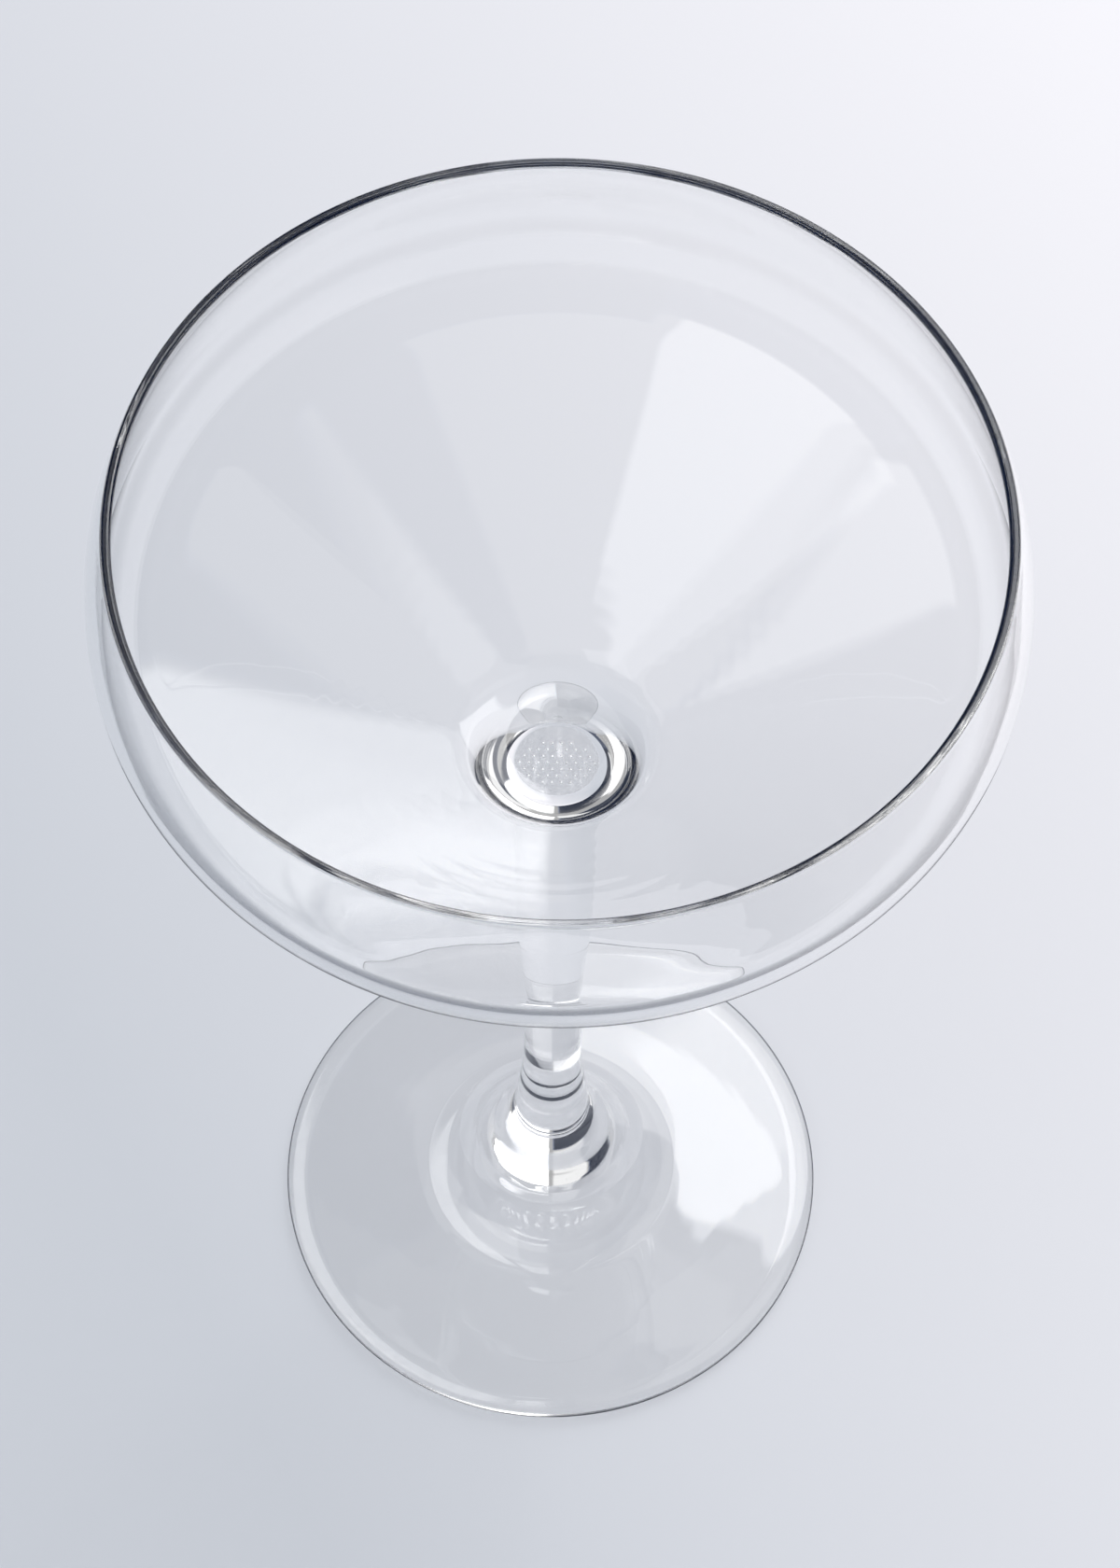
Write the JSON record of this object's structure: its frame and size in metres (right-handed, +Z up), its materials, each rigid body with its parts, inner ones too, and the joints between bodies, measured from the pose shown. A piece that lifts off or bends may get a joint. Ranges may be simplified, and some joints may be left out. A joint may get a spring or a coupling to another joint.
{
  "type": "stemmed cocktail glass",
  "caption": "Clear stemmed cocktail glass: wide shallow bowl with a slightly drawn-in lip, slender solid stem and round sloping foot.",
  "frame": {"origin": "centre of the foot's standing ring, on the surface that the glass stands on", "axes": "+Z up along the stem's axis, towards the rim; X and Y are equal by symmetry"},
  "size_m": [0.1012, 0.1012, 0.158],
  "materials": {
    "bowl_glass": "clear polished, fine scratches on the lip, small etched dots at the bottom of the inside",
    "stem_glass": "clear fire-polished",
    "foot_glass": "clear fire-polished, faintly wavy"
  },
  "bodies": {
    "root": {"bowl": "bowl_glass", "stem": "stem_glass", "foot": "foot_glass"}
  },
  "joints": []
}
